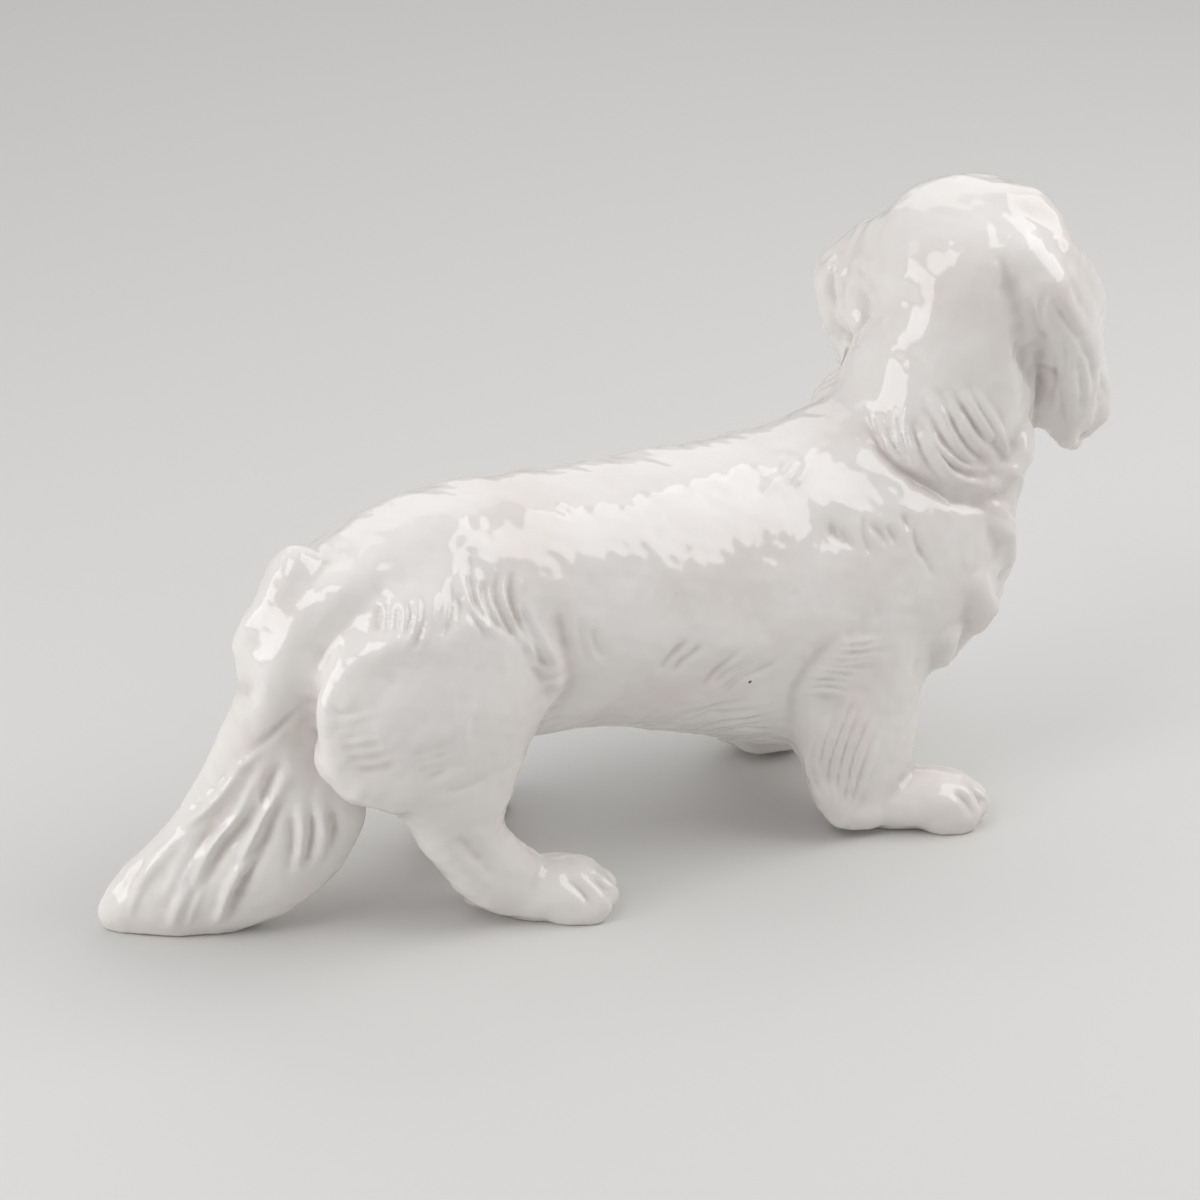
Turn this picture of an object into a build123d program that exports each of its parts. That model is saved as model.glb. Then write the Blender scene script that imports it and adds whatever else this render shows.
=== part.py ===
from build123d import *
from math import cos, pi, radians, sin
import os

# A standing long-haired dog in slip-cast earthenware: nine castings luted together under one glaze.
# Millimetres. The dog stands along X with its head at +X, its left side at +Y and the ground at Z = 0.
# X = 0 lies midway between the hind feet until the last lines centre the figure on its own box.
# Each casting is cut in flat planes, as a carver blocks out a model, through oval rings of corners.
# A table of shares gives each ring's place and size as parts of the named sizes of its casting.

# Trunk: hollow barrel from rump to chest
trunk_length = 334
trunk_width = 106
trunk_depth = 140
back_height = 172
rump_setback = 103
wall_thickness = 5
vent_diameter = 6
vent_along_share = 0.45

# (along the length, mid height, width, depth)
trunk_shares = (
    (0.00, 0.68, 0.13, 0.11),
    (0.02, 0.68, 0.38, 0.33),
    (0.075, 0.692, 0.68, 0.60),
    (0.19, 0.70, 0.85, 0.775),
    (0.37, 0.683, 0.905, 0.78),
    (0.52, 0.632, 0.945, 0.86),
    (0.66, 0.574, 0.98, 0.98),
    (0.78, 0.60, 1.00, 1.00),
    (0.88, 0.645, 0.945, 0.91),
    (0.95, 0.645, 0.755, 0.67),
    (0.985, 0.64, 0.45, 0.40),
    (1.00, 0.637, 0.12, 0.11),
)

# Hind legs: thigh, hock and pastern above a paw
hip_dip = 16
thigh_length = 94
thigh_width = 44
hind_stance = 68
hind_heel_setback = 36
hind_heel_spread = 45
hind_paw_length = 57
left_hind_lead = 12
hip_height = back_height - hip_dip

# (height, forward, outward, length, width)
hindleg_shares = (
    (1.00, -0.45, 0.70, 0.43, 0.41),
    (0.93, -0.50, 0.88, 0.70, 0.73),
    (0.77, -0.565, 0.97, 1.00, 1.00),
    (0.61, -0.565, 1.00, 1.00, 1.00),
    (0.46, -0.53, 1.00, 0.76, 0.86),
    (0.35, -0.48, 1.00, 0.46, 0.68),
    (0.27, -0.455, 1.00, 0.42, 0.60),
    (0.16, -0.30, 0.97, 0.46, 0.60),
    (0.08, -0.20, 0.95, 0.46, 0.64),
    (0.02, -0.14, 0.94, 0.34, 0.50),
)

# Forelegs: feathered column above a paw
shoulder_dip = 57
foreleg_length = 68
foreleg_width = 34
foreleg_setback = 90
fore_stance = 72
fore_heel_setback = 9
fore_heel_spread = 64
fore_paw_length = 63
left_fore_lead = 2
foreleg_height = back_height - shoulder_dip
foreleg_reach = trunk_length - rump_setback - foreleg_setback

# (height, forward, outward, length, width)
foreleg_shares = (
    (1.00, 0.13, 0.83, 0.85, 0.82),
    (0.83, 0.09, 0.94, 1.00, 0.94),
    (0.65, 0.01, 1.00, 0.99, 1.00),
    (0.48, 0.00, 1.00, 0.93, 0.94),
    (0.30, 0.01, 1.03, 0.83, 0.94),
    (0.16, 0.04, 1.06, 0.65, 0.88),
    (0.03, 0.09, 1.06, 0.50, 0.76),
)

# Paws: turned out and flat on the ground, with four toes
paw_width = 35
paw_height = 25
right_toe_out = 24
left_toe_out = 42
toe_length = 28
toe_width = 11
toe_height = 19

# (along, mid height, width, depth)
paw_shares = (
    (0.00, 0.42, 0.34, 0.35),
    (0.13, 0.46, 0.69, 0.69),
    (0.43, 0.44, 0.91, 1.02),
    (0.77, 0.42, 0.97, 0.98),
    (0.93, 0.39, 0.80, 0.84),
    (1.00, 0.36, 0.50, 0.50),
)

# (along, across, mid height) of a toe's centre
toe_shares = ((0.80, -0.34, 0.28), (0.88, -0.12, 0.32), (0.88, 0.12, 0.32), (0.80, 0.34, 0.28))

# Tail: a root below the rump that hangs into a fan swept to the dog's left
tail_dip = 4
tail_fan = 83
tail_thickness = 32
tail_lead = 8
tail_sweep = 30
tail_height = back_height - tail_dip
tail_setback = rump_setback - tail_lead

# (height, along the fan, length, thickness)
tail_shares = (
    (1.00, 0.02, 0.08, 0.20),
    (0.985, 0.02, 0.18, 0.45),
    (0.94, 0.00, 0.25, 0.70),
    (0.83, -0.03, 0.30, 0.85),
    (0.63, -0.10, 0.36, 0.94),
    (0.48, -0.12, 0.60, 1.00),
    (0.315, -0.13, 0.92, 1.00),
    (0.165, -0.33, 1.05, 0.97),
    (0.05, -0.53, 0.95, 0.83),
    (0.00, -0.64, 0.68, 0.60),
)

# Head and neck: one hollow casting, turned to the dog's left on a ruffed neck
neck_rise = 40
neck_length = 84
neck_width = 84
neck_setback = 41
head_rise = 2
head_lead = 29.5
head_offset = 5
head_turn = 60
head_drop = 7
head_length = 136
skull_width = 88
skull_depth = 74
nose_length = 15
nose_width = 21
nose_depth = 15
eye_diameter = 13
neck_height = back_height + neck_rise
neck_reach = trunk_length - rump_setback - neck_setback
head_height = neck_height + head_rise
head_reach = neck_reach + head_lead

# (height, forward, sideways, length, width)
neck_shares = (
    (0.49, 0.00, 0.00, 0.79, 0.86),
    (0.575, 0.05, 0.00, 0.95, 1.00),
    (0.66, 0.05, 0.00, 1.12, 1.03),
    (0.77, 0.08, -0.01, 1.10, 1.00),
    (0.85, 0.13, -0.03, 0.96, 0.95),
    (0.935, 0.17, -0.06, 0.86, 0.91),
    (1.00, 0.20, -0.08, 0.80, 0.84),
    (1.05, 0.22, -0.06, 0.58, 0.60),
)

# (along, mid height, width, depth)
head_shares = (
    (-0.37, 0.055, 0.18, 0.22),
    (-0.325, 0.055, 0.55, 0.59),
    (-0.18, 0.095, 0.90, 0.92),
    (0.00, 0.12, 1.00, 1.00),
    (0.16, 0.07, 0.84, 0.86),
    (0.28, -0.04, 0.65, 0.63),
    (0.38, -0.095, 0.53, 0.52),
    (0.51, -0.125, 0.47, 0.48),
    (0.60, -0.135, 0.41, 0.43),
    (0.64, -0.14, 0.30, 0.32),
    (0.655, -0.135, 0.12, 0.13),
)

# (along, across, mid height) of the centres of the nose and eyes
nose_shares = (0.635, 0.00, -0.04)
eye_shares = ((0.235, 0.245, 0.195), (0.235, -0.245, 0.195))

# Ears: pendant flaps, set half open, that hang beside the cheeks
ear_rise = 22
ear_drop = 97
ear_width = 40
ear_thickness = 18
ear_opening = 45
left_ear_lead = 10
ear_top = head_height + ear_rise

# (height above the tip, width, thickness)
ear_shares = (
    (1.00, 0.58, 0.75),
    (0.89, 0.85, 1.00),
    (0.73, 1.00, 1.00),
    (0.54, 1.12, 0.83),
    (0.35, 1.12, 0.83),
    (0.16, 1.00, 0.78),
    (0.04, 0.48, 0.55),
    (0.00, 0.20, 0.33),
)
right_ear_spread_shares = (0.31, 0.38, 0.44, 0.46, 0.50, 0.53, 0.54, 0.54)
left_ear_spread_shares = (0.39, 0.47, 0.55, 0.49, 0.42, 0.38, 0.38, 0.38)

# Flat planes round each ring, and rings made for each row of a table
trunk_facets = 26
limb_facets = 20
paw_facets = 16
toe_facets = 10
rings_per_row = 2
quarter_turn = 90

os.makedirs("parts", exist_ok=True)


def direction(turn, drop=0):
    """The unit direction turned from +X towards +Y and dropped below the horizontal, in degrees."""
    level = cos(radians(drop))
    return Vector(level * cos(radians(turn)), level * sin(radians(turn)), -sin(radians(drop)))


def eased(rows, steps=rings_per_row):
    """The rows of a table with steps - 1 more in each gap, on a smooth curve through them all."""
    padded = (rows[0], *rows, rows[-1])
    curve = []
    for before, start, end, after in zip(padded, padded[1:], padded[2:], padded[3:]):
        for step in range(steps):
            t = step / steps
            curve.append([
                b + t / 2 * (c - a + t * (2 * a - 5 * b + 4 * c - d + t * (3 * (b - c) + d - a)))
                for a, b, c, d in zip(before, start, end, after)
            ])
    return curve + [rows[-1]]


def oval(plane, width, depth, facets, across=0, up=0):
    """The corners of an oval ring, centred at (across, up) on its plane."""
    turns = [2 * pi * (step + 0.5) / facets for step in range(facets)]
    corners = [(across + width / 2 * cos(t), up + depth / 2 * sin(t), 0) for t in turns]
    return [plane.from_local_coords(corner) for corner in corners]


def cut_form(rings):
    """A solid cut in flat planes through rings of corners, with a flat face at each end."""
    faces = [Face(Wire.make_polygon(ring)) for ring in (rings[0], rings[-1])]
    for ring, following in zip(rings, rings[1:]):
        sides = zip(ring, ring[1:] + ring[:1], following[1:] + following[:1], following)
        for a, b, c, d in sides:
            faces += [Face(Wire.make_polygon((a, b, c))), Face(Wire.make_polygon((a, c, d)))]
    return Solid(Shell(faces))


def globe(plane, length, width, depth, facets=toe_facets):
    """A rounded form about the plane's origin, long along its normal."""
    bands = facets // 2 + 1
    turns = [pi * (band + 0.5) / bands for band in range(bands)]
    return cut_form([
        oval(plane.offset(-length / 2 * cos(t)), width * sin(t), depth * sin(t), facets) for t in turns
    ])


def trunk_form(inset=0, steps=rings_per_row):
    """The barrel of the trunk, with every driving size drawn in by the inset on each side."""
    length, width, depth = (size - 2 * inset for size in (trunk_length, trunk_width, trunk_depth))
    return cut_form([
        oval(Plane.YZ.offset(inset - rump_setback + length * along), width * wide, depth * deep,
             trunk_facets, up=back_height * mid)
        for along, mid, wide, deep in eased(trunk_shares, steps)
    ])


def leg_form(shares, height, length, width, reach, lead, spread):
    """A leg that reaches along X, leads by a step forward at the ground and spreads out along Y."""
    return cut_form([
        oval(Plane.XY.offset(height * level), length * long, width * wide, limb_facets,
             reach + lead * (1 - level) + length * forward, spread * outward)
        for level, forward, outward, long, wide in eased(shares)
    ])


def paw_form(heel_plane, length):
    """The body of a paw, from the heel plane along its normal to the toes."""
    return cut_form([
        oval(heel_plane.offset(length * along), paw_width * wide, paw_height * deep, paw_facets,
             up=paw_height * mid)
        for along, mid, wide, deep in eased(paw_shares)
    ])


def toe_form(heel_plane, length, along, across, mid):
    """One toe of a paw of the given length."""
    centre = heel_plane.from_local_coords((paw_width * across, paw_height * mid, length * along))
    return globe(Plane(centre, heel_plane.x_dir, heel_plane.z_dir), toe_length, toe_width, toe_height)


def tail_form():
    """The tail, whose fan is long along its swept plane."""
    fan_plane = Plane((-tail_setback, 0, 0), direction(-tail_sweep), (0, 0, 1))
    return cut_form([
        oval(fan_plane.offset(tail_height * level), tail_fan * long, tail_thickness * thick, limb_facets,
             across=tail_fan * along)
        for level, along, long, thick in eased(tail_shares)
    ])


def neck_form(inset=0, steps=rings_per_row):
    """The neck, drawn in by the inset on each side."""
    return cut_form([
        oval(Plane.XY.offset(neck_height * level), neck_length * long - 2 * inset,
             neck_width * wide - 2 * inset, limb_facets, neck_reach + neck_length * forward,
             neck_width * sideways)
        for level, forward, sideways, long, wide in eased(neck_shares, steps)
    ])


def skull_form(inset=0, steps=rings_per_row):
    """The skull and muzzle, from nape to nose, drawn in by the inset on each side."""
    length, width, depth = (size - 2 * inset for size in (head_length, skull_width, skull_depth))
    return cut_form([
        oval(head_plane.offset(length * along), width * wide, depth * deep, limb_facets,
             up=skull_depth * mid)
        for along, mid, wide, deep in eased(head_shares, steps)
    ])


def face_form(shares, length, width, depth):
    """A rounded feature of the face, placed by shares of the head's length, width and depth."""
    along, across, mid = shares
    centre = head_plane.from_local_coords((skull_width * across, skull_depth * mid, head_length * along))
    return globe(Plane(centre, head_plane.x_dir, head_plane.z_dir), length, width, depth)


def ear_form(spread_shares, side, lead):
    """An ear on one side of the head, -1 for right and +1 for left, set a lead towards the muzzle."""
    flap = direction(head_turn + side * ear_opening)
    middle = head_centre + direction(head_turn) * lead
    rows = [(*row, spread) for row, spread in zip(ear_shares, spread_shares)]
    rings = []
    for level, wide, thick, spread in eased(rows):
        hung = middle + head_left * (side * skull_width * spread)
        root = Vector(hung.X, hung.Y, ear_top - ear_drop * (1 - level))
        flap_plane = Plane(root, flap, (0, 0, 1))
        rings.append(oval(flap_plane, ear_width * wide, ear_thickness * thick, paw_facets))
    return cut_form(rings)


head_centre = Vector(head_reach, head_offset, head_height)
head_left = direction(head_turn + quarter_turn)
head_plane = Plane(head_centre, head_left, direction(head_turn, head_drop))
castings = {}

with BuildPart() as trunk_body:
    add(trunk_form())

with BuildPart() as trunk:
    add(trunk_body.part)
    add(trunk_form(wall_thickness, steps=1), mode=Mode.SUBTRACT)
    with BuildSketch():
        with Locations((-rump_setback + trunk_length * vent_along_share, 0)):
            Circle(vent_diameter / 2)
    extrude(amount=back_height / 2, mode=Mode.SUBTRACT)
castings["trunk"] = trunk.part

with BuildPart() as head_body:
    add(neck_form())
    add(skull_form())
    add(face_form(nose_shares, nose_length, nose_width, nose_depth))
    for shares in eye_shares:
        add(face_form(shares, eye_diameter, eye_diameter, eye_diameter))

with BuildPart() as head:
    add(head_body.part)
    add(neck_form(wall_thickness, steps=1), mode=Mode.SUBTRACT)
    add(skull_form(wall_thickness, steps=1), mode=Mode.SUBTRACT)
    add(trunk_body.part, mode=Mode.SUBTRACT)
castings["head"] = head.part

ears = (
    ("ear_right", -1, right_ear_spread_shares, 0),
    ("ear_left", 1, left_ear_spread_shares, left_ear_lead),
)
for name, side, spread_shares, lead in ears:
    with BuildPart() as ear:
        add(ear_form(spread_shares, side, lead))
        add((head_body.part, trunk_body.part), mode=Mode.SUBTRACT)
    castings[name] = ear.part

hind = (hindleg_shares, hip_height, thigh_length, thigh_width, 0)
fore = (foreleg_shares, foreleg_height, foreleg_length, foreleg_width, foreleg_reach)
hind_foot = (hind_stance, -hind_heel_setback, hind_heel_spread, hind_paw_length)
fore_foot = (fore_stance, foreleg_reach - fore_heel_setback, fore_heel_spread, fore_paw_length)
legs = (
    ("hindleg_right", -1, right_toe_out, 0, hind, hind_foot),
    ("hindleg_left", 1, left_toe_out, left_hind_lead, hind, hind_foot),
    ("foreleg_right", -1, right_toe_out, 0, fore, fore_foot),
    ("foreleg_left", 1, left_toe_out, left_fore_lead, fore, fore_foot),
)
for name, side, toe_out, lead, sizes, (stance, heel_reach, heel_spread, paw_length) in legs:
    heel = Vector(heel_reach + lead, side * heel_spread / 2, 0)
    heel_plane = Plane(heel, direction(side * toe_out + quarter_turn), direction(side * toe_out))
    with BuildPart() as leg:
        add(leg_form(*sizes, lead, side * stance / 2))
        add(paw_form(heel_plane, paw_length))
        for shares in toe_shares:
            add(toe_form(heel_plane, paw_length, *shares))
        split(bisect_by=Plane.XY, keep=Keep.TOP)
        add(trunk_body.part, mode=Mode.SUBTRACT)
    castings[name] = leg.part

with BuildPart() as tail:
    add(tail_form())
    add((trunk_body.part, castings["hindleg_left"], castings["hindleg_right"]), mode=Mode.SUBTRACT)
castings["tail"] = tail.part

# Centre the figure on the middle of its box, with the ground at Z = 0
box = Compound(children=[casting.moved(Location()) for casting in castings.values()]).bounding_box()
to_origin = Location((-box.center().X, -box.center().Y, -box.min.Z))
for name, casting in castings.items():
    placed = casting.moved(to_origin)
    placed.label = name
    export_step(placed, f"parts/{name}.step")
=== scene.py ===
"""A standing long-haired dog in white-glazed earthenware, modelled over its nine castings.

The castings' triangles become one field of signed distances, which is smoothed and filled out
with clay, and then turned back into a single skin. Strokes of a loop tool are pressed into that
skin, and it is parted along the seams of the castings, so that the glaze runs over them unbroken.
Lengths are millimetres from a ground point on the trunk's middle line, between the hind paws,
with X forward, Y to the dog's left and Z up. They turn to metres when a piece is made.
"""

from math import cos, radians, sin, tau

import bpy
import numpy as np
import openvdb
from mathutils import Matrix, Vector
from mathutils.bvhtree import BVHTree


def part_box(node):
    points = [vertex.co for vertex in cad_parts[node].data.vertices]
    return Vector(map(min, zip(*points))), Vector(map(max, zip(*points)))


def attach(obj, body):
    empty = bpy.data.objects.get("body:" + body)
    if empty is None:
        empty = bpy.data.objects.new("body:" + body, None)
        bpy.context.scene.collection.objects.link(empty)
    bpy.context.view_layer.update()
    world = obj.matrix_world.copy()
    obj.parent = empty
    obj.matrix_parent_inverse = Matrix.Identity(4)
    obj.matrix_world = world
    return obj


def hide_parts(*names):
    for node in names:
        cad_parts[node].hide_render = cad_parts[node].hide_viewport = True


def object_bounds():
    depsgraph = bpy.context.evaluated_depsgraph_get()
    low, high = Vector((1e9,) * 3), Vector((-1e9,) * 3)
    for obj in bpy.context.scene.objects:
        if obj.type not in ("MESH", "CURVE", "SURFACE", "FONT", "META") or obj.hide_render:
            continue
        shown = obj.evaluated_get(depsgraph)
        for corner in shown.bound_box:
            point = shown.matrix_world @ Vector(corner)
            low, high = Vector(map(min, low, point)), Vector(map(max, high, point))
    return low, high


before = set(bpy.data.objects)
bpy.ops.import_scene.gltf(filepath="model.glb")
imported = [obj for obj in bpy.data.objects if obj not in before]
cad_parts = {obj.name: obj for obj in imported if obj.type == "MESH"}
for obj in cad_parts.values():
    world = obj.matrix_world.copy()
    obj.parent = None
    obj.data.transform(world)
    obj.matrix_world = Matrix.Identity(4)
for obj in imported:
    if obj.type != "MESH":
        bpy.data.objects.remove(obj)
cad_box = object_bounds()

MM = 1000
TINY = 1e-9
UP = np.array([0, 0, 1])
SQUARE = np.array([(-1, -1), (1, -1), (1, 1), (-1, 1)])

# The trunk's rear end lies this far behind the ground point
RUMP_SETBACK = 103
trunk_low, trunk_high = (np.array(corner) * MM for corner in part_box("trunk"))
ground = np.array([trunk_low[0] + RUMP_SETBACK, (trunk_low[1] + trunk_high[1]) / 2, 0])

# The photograph's view: the camera stands behind the dog's right side and looks down at the aim
PHOTO_SIDE = 1200
PIXELS_PER_MM = 2.48
CAMERA_DISTANCE = 1600
AIM = np.array([40.5, 0, 112])
VIEW_TURN, VIEW_RISE = radians(30), radians(25)
view_right = np.array([cos(VIEW_TURN), -sin(VIEW_TURN), 0])
view_level = np.array([sin(VIEW_TURN), cos(VIEW_TURN), 0])
view_up = cos(VIEW_RISE) * UP + sin(VIEW_RISE) * view_level
view_ahead = cos(VIEW_RISE) * view_level - sin(VIEW_RISE) * UP
camera_place = AIM - CAMERA_DISTANCE * view_ahead

# The field: its grid step, how far its distances reach and the room left round the figure. A bell
# curve in it is followed out to a few times its spread.
GRID_STEP = 1.15
BAND = 14
ROOM = 16
BELL_REACH = 3
grid_low, grid_high = (np.array(corner) * MM - ground for corner in cad_box)
grid_first = np.floor((grid_low - ROOM) / GRID_STEP).astype(int)
grid_shape = tuple(np.ceil((grid_high + ROOM) / GRID_STEP).astype(int) - grid_first)
ground_layer = -grid_first[2]
even_grid = openvdb.createLinearTransform(voxelSize=GRID_STEP)


def cad_triangles(node):
    """The corners of a casting's triangles and each triangle's three corner numbers."""
    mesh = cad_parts[node].data
    corners = np.empty(len(mesh.vertices) * 3, np.float32)
    mesh.vertices.foreach_get("co", corners)
    triangles = np.empty(len(mesh.polygons) * 3, np.int32)
    mesh.polygons.foreach_get("vertices", triangles)
    return corners.reshape(-1, 3) * MM - ground, triangles.reshape(-1, 3)


def distances(corners, faces):
    """The signed distance from closed faces at each grid point, negative inside, cut off at the band."""
    kind = "triangles" if faces.shape[1] == 3 else "quads"
    level_set = openvdb.FloatGrid.createLevelSetFromPolygons(
        corners.astype(np.float32), transform=even_grid, halfWidth=BAND / GRID_STEP,
        **{kind: faces.astype(np.uint32)},
    )
    field = np.empty(grid_shape, np.float32)
    level_set.copyToArray(field, ijk=tuple(int(i) for i in grid_first))
    return field


def skin_of(field, level=0):
    """The corners and four-sided faces of the surface where the field has the given level."""
    volume = openvdb.FloatGrid(BAND)
    volume.copyFromArray(field, ijk=tuple(int(i) for i in grid_first))
    volume.transform = even_grid
    corners, quads = volume.convertToQuads(level)
    return corners.astype(float), quads.astype(np.int64)


def blurred(field, spread):
    """The field averaged along each axis in turn with a bell curve of the given spread."""
    reach = int(BELL_REACH * spread / GRID_STEP)
    offsets = np.arange(-reach, reach + 1)
    bell = np.exp(-0.5 * (offsets * GRID_STEP / spread) ** 2).astype(np.float32)
    bell /= bell.sum()
    for axis in range(3):
        sides = [(reach, reach) if side == axis else (0, 0) for side in range(3)]
        padded = np.moveaxis(np.pad(field, sides, mode="edge"), axis, 0)
        count = field.shape[axis]
        total = sum(weight * padded[start:start + count] for start, weight in enumerate(bell))
        field = np.moveaxis(total, 0, axis)
    return np.ascontiguousarray(field)


def smoothed(field, spread):
    """The field blurred, plus what a second blur would take from that, so that forms don't shrink."""
    once = blurred(field, spread)
    return 2 * once - blurred(once, spread)


def sampled(field, points):
    """The field at any points, mixed from the eight grid points round each."""
    place = points / GRID_STEP - grid_first
    cell = np.clip(np.floor(place).astype(int), 0, np.array(grid_shape) - 2)
    share = place - cell
    total = 0
    for corner in np.ndindex(2, 2, 2):
        weight = np.prod(np.where(corner, share, 1 - share), axis=1)
        total = total + weight * field[tuple((cell + corner).T)]
    return total


def block(low, high):
    """The slices of the grid between two corners, and the coordinates of its points along each axis."""
    first = np.clip(np.floor(np.array(low) / GRID_STEP).astype(int) - grid_first, 0, grid_shape)
    last = np.clip(np.ceil(np.array(high) / GRID_STEP).astype(int) - grid_first, 0, grid_shape)
    slices = tuple(slice(a, b) for a, b in zip(first, last))
    axes = np.meshgrid(*((np.arange(a, b) + start) * GRID_STEP
                         for a, b, start in zip(first, last, grid_first)), indexing="ij", sparse=True)
    return slices, axes


def swell(field, centre, spread, lift):
    """Raises the surface about a centre by the lift, or lowers it, fading as a bell of that spread."""
    centre, spread = np.array(centre), np.array(spread) * np.ones(3)
    slices, axes = block(centre - BELL_REACH * spread, centre + BELL_REACH * spread)
    away = sum(((axis - middle) / wide) ** 2 for axis, middle, wide in zip(axes, centre, spread))
    field[slices] -= lift * np.exp(-away / 2)


def round_path(path, radii, reach):
    """The grid's slices within reach of a path, and the distance there from a roll of the radii round it."""
    path = np.array(path, float)
    slices, axes = block(path.min(0) - reach, path.max(0) + reach)
    nearest = np.inf
    for start, end, first, last in zip(path, path[1:], radii, radii[1:]):
        along = end - start
        share = sum((axis - a) * b for axis, a, b in zip(axes, start, along)) / (along @ along)
        share = np.clip(share, 0, 1)
        gap = sum((axis - a - share * b) ** 2 for axis, a, b in zip(axes, start, along))
        nearest = np.minimum(nearest, np.sqrt(gap) - first - share * (last - first))
    return slices, nearest


def furrow(field, path, radii, width, depth):
    """Lowers the surface by a depth along a path, fading beyond the radii as a bell of the width.

    Where a radius is below zero, the furrow is as shallow as it would be that far away.
    """
    slices, nearest = round_path(path, radii, BELL_REACH * width)
    field[slices] += depth * np.exp(-(np.maximum(nearest, 0) / width) ** 2 / 2)


def clay_roll(field, path, radii, melt):
    """Joins a roll of clay to the field, whose radius runs along the path.

    The distance is the smaller of the two, less a fillet where they differ by under the melt.
    """
    slices, nearest = round_path(path, radii, max(radii) + melt + GRID_STEP)
    fillet = np.maximum(melt - np.abs(field[slices] - nearest), 0) / melt
    field[slices] = np.minimum(field[slices], nearest) - fillet ** 2 * melt / 4


def corner_normals(points, quads):
    """Each corner's normal: the sum of the areas of the faces round it, made one long."""
    faces = np.cross(points[quads[:, 2]] - points[quads[:, 0]], points[quads[:, 3]] - points[quads[:, 1]])
    total = np.stack([
        np.bincount(quads.ravel(), np.repeat(faces[:, axis], 4), len(points)) for axis in range(3)
    ], axis=1)
    return total / np.linalg.norm(total, axis=1, keepdims=True)


def neighbour_mean(values, quads):
    """Each corner's value averaged over the corners that share an edge with it."""
    ends = np.concatenate([quads[:, [side, (side + 1) % 4]] for side in range(4)])
    count = np.bincount(ends[:, 0], minlength=len(values))
    return np.stack([
        np.bincount(ends[:, 0], column[ends[:, 1]], len(values)) / count for column in values.T
    ], axis=1)


RELAX_PASSES = 3
RELAX_PULLS = (0.5, -0.52)


def relaxed(points, quads):
    """The points drawn towards their neighbours, then pushed off a little further, which keeps volume."""
    for _ in range(RELAX_PASSES):
        for pull in RELAX_PULLS:
            points = points + pull * (neighbour_mean(points, quads) - points)
    return points


# The castings as one field, with a patch over the vent in the belly. The skin is taken a little
# outside them, where the seams between them close, and the field is mirrored below the ground, so
# that smoothing leaves the soles flat.
VENT = np.array([47.3, 0])
VENT_PATCH = 7
SKIN_LIFT = 0.6
nodes = sorted(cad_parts)
corner_lists, triangle_lists = zip(*(cad_triangles(node) for node in nodes))
starts = np.cumsum([0] + [len(corners) for corners in corner_lists])
corners = np.concatenate(corner_lists)
triangles = np.concatenate([part + start for part, start in zip(triangle_lists, starts)])
belly = corners[np.hypot(*(corners[:, :2] - VENT).T) < 2 * VENT_PATCH][:, 2].min()
patch = [(*(VENT + VENT_PATCH * way), belly) for way in SQUARE]
patch_triangles = len(corners) + np.array([(0, 2, 1), (0, 3, 2)])
whole = distances(np.concatenate([corners, patch]), np.concatenate([triangles, patch_triangles]))
field = distances(*skin_of(whole, SKIN_LIFT)) + SKIN_LIFT
field[:, :, :ground_layer] = field[:, :, 2 * ground_layer:ground_layer:-1]

# The head's own directions: ahead along the muzzle, to the head's left, and up
HEAD_MIDDLE = np.array([219.5, 5, 214])
HEAD_TURN, HEAD_DROP = radians(60), radians(7)
head_ahead = np.array([cos(HEAD_DROP) * cos(HEAD_TURN), cos(HEAD_DROP) * sin(HEAD_TURN), -sin(HEAD_DROP)])
head_left = np.array([-sin(HEAD_TURN), cos(HEAD_TURN), 0])
head_axes = np.stack([head_ahead, head_left, np.cross(head_ahead, head_left)])

# Smoothed planes: broad on the body, slight on the ears, the face and the paws, and fading between
BROAD, SLIGHT = 6.0, 2.2
CRISP_FADE = 10
PAW_TOP = 26
FACE_LEAD, FACE_RADIUS = 66, 30
soft = smoothed(field, BROAD)
crisp = smoothed(field, SLIGHT)
crisp_share = np.zeros(grid_shape, np.float32)
face_middle = HEAD_MIDDLE + FACE_LEAD * head_ahead
crisp_boxes = [
    (face_middle, face_middle, FACE_RADIUS),
    (grid_low - ROOM, (*grid_high[:2] + ROOM, PAW_TOP), 0),
]
for ear in ("ear_left", "ear_right"):
    crisp_boxes.append((*(np.array(corner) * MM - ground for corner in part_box(ear)), 0))
for low, high, radius in crisp_boxes:
    slices, axes = block(np.array(low) - radius - CRISP_FADE, np.array(high) + radius + CRISP_FADE)
    away = sum(np.maximum(np.maximum(a - axis, axis - b), 0) ** 2 for axis, a, b in zip(axes, low, high))
    share = np.clip(1 - (np.sqrt(away) - radius) / CRISP_FADE, 0, 1)
    crisp_share[slices] = np.maximum(crisp_share[slices], share ** 2 * (3 - 2 * share))
field = soft + crisp_share * (crisp - soft)


def in_head(places):
    """Places given ahead, left and up from the middle of the head, in the dog's own frame."""
    return HEAD_MIDDLE + np.array(places, float) @ head_axes


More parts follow.
